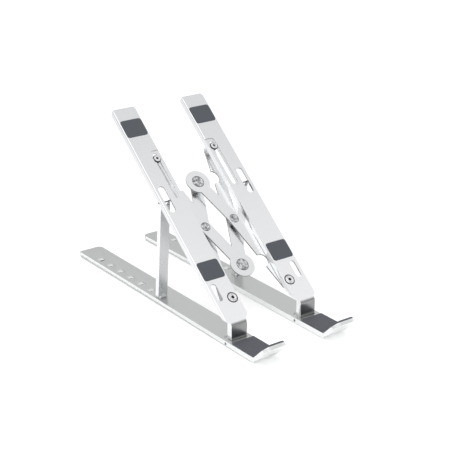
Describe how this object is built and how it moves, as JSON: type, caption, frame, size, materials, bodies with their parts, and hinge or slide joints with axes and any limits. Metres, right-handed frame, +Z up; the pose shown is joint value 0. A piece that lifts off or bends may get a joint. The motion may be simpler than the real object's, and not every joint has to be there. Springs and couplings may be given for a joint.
{
  "type": "laptop stand",
  "caption": "Folding aluminium laptop stand: hooked base rails, slanted arms on hinge pins, notched prop legs, and a flat lazy-tong linkage that spreads or closes the pair.",
  "frame": {"origin": "on the table under the middle of the standing stand's box", "axes": "+Z up, -Y towards the hooks at the front, +X to the right arm as seen from the front"},
  "size_m": [0.088, 0.2626, 0.1474],
  "materials": {
    "rail": "bead-blasted anodised",
    "arm": "fine brushed anodised",
    "link": "bead-blasted anodised",
    "prop": "satin anodised",
    "pad": "matte silicone",
    "hook_pad": "matte silicone",
    "foot": "matte",
    "rivet": "turned and polished",
    "screw": "machined",
    "washer": "matte nylon",
    "pin": "ground",
    "spacer": "turned"
  },
  "bodies": {
    "left_base": {"left_rail": "rail", "left_hook_pad": "hook_pad", "left_front_foot": "foot", "left_rear_foot": "foot", "left_hinge_pin": "pin"},
    "left_arm": {"left_arm": "arm", "left_upper_pad": "pad", "left_lower_pad": "pad", "left_flange_rivet": "rivet", "left_front_screw": "screw", "left_front_washer": "washer", "left_front_spacer": "spacer"},
    "left_front_link": {"left_front_link": "link"},
    "left_rear_link": {"left_rear_link": "link", "left_cross_rivet": "rivet", "left_cross_spacer": "spacer", "front_hub_rivet": "rivet", "left_slide_screw": "screw", "left_slide_washer": "washer", "left_slide_spacer": "spacer"},
    "right_front_link": {"right_front_link": "link", "right_cross_rivet": "rivet", "right_cross_spacer": "spacer", "rear_hub_rivet": "rivet", "rear_hub_spacer": "spacer"},
    "right_rear_link": {"right_rear_link": "link", "right_slide_screw": "screw", "right_slide_washer": "washer", "right_slide_spacer": "spacer"},
    "right_arm": {"right_arm": "arm", "right_upper_pad": "pad", "right_lower_pad": "pad", "right_flange_rivet": "rivet", "right_front_screw": "screw", "right_front_washer": "washer", "right_front_spacer": "spacer"},
    "right_base": {"right_rail": "rail", "right_hook_pad": "hook_pad", "right_front_foot": "foot", "right_rear_foot": "foot", "right_hinge_pin": "pin"},
    "left_prop": {"left_prop": "prop", "left_prop_pin": "pin"},
    "right_prop": {"right_prop": "prop", "right_prop_pin": "pin"}
  },
  "joints": [
    {"name": "stand_fold", "type": "hinge", "parent": "left_base", "child": "left_arm", "pos_m": [-0.03318, -0.08268, 0.0026], "axis": [1, 0, 0], "range_deg": [-40, 0]},
    {"name": "width_fold", "type": "hinge", "parent": "left_arm", "child": "left_front_link", "pos_m": [-0.02758, -0.06448, 0.02512], "axis": [0, 0.6428, -0.766], "range_deg": [-12.02, 32.7]},
    {"name": "left_cross_turn", "type": "hinge", "parent": "left_front_link", "child": "left_rear_link", "pos_m": [-0.01348, -0.01493, 0.0667], "axis": [0, 0.6428, -0.766], "range_deg": [-65.4, 24.04]},
    {"name": "rear_hub_turn", "type": "hinge", "parent": "left_front_link", "child": "right_front_link", "pos_m": [0, 0.01489, 0.09172], "axis": [0, 0.6428, -0.766], "range_deg": [-65.4, 24.04]},
    {"name": "right_cross_turn", "type": "hinge", "parent": "right_front_link", "child": "right_rear_link", "pos_m": [0.01348, -0.01493, 0.0667], "axis": [0, 0.6428, -0.766], "range_deg": [-24.04, 65.4]},
    {"name": "right_screw_turn", "type": "hinge", "parent": "right_front_link", "child": "right_arm", "pos_m": [0.02758, -0.06448, 0.02512], "axis": [0, 0.6428, -0.766], "range_deg": [-12.02, 32.7]},
    {"name": "right_base_fold", "type": "hinge", "parent": "right_arm", "child": "right_base", "pos_m": [0.03318, -0.08268, 0.0026], "axis": [1, 0, 0], "range_deg": [0, 40]},
    {"name": "left_prop_fold", "type": "hinge", "parent": "left_base", "child": "left_prop", "pos_m": [-0.03788, 0.01392, 0.0052], "axis": [1, 0, 0], "range_deg": [-94.1, 0]},
    {"name": "right_prop_fold", "type": "hinge", "parent": "right_base", "child": "right_prop", "pos_m": [0.03788, 0.01392, 0.0052], "axis": [1, 0, 0], "range_deg": [-94.1, 0]}
  ],
  "couplings": [
    {"joint": "left_cross_turn", "follows": "width_fold", "ratio": -2},
    {"joint": "rear_hub_turn", "follows": "width_fold", "ratio": -2},
    {"joint": "right_cross_turn", "follows": "width_fold", "ratio": 2},
    {"joint": "right_screw_turn", "follows": "width_fold", "ratio": 1},
    {"joint": "right_base_fold", "follows": "stand_fold", "ratio": -1},
    {"joint": "left_prop_fold", "follows": "stand_fold", "ratio": 2.3525},
    {"joint": "right_prop_fold", "follows": "stand_fold", "ratio": 2.3525}
  ]
}
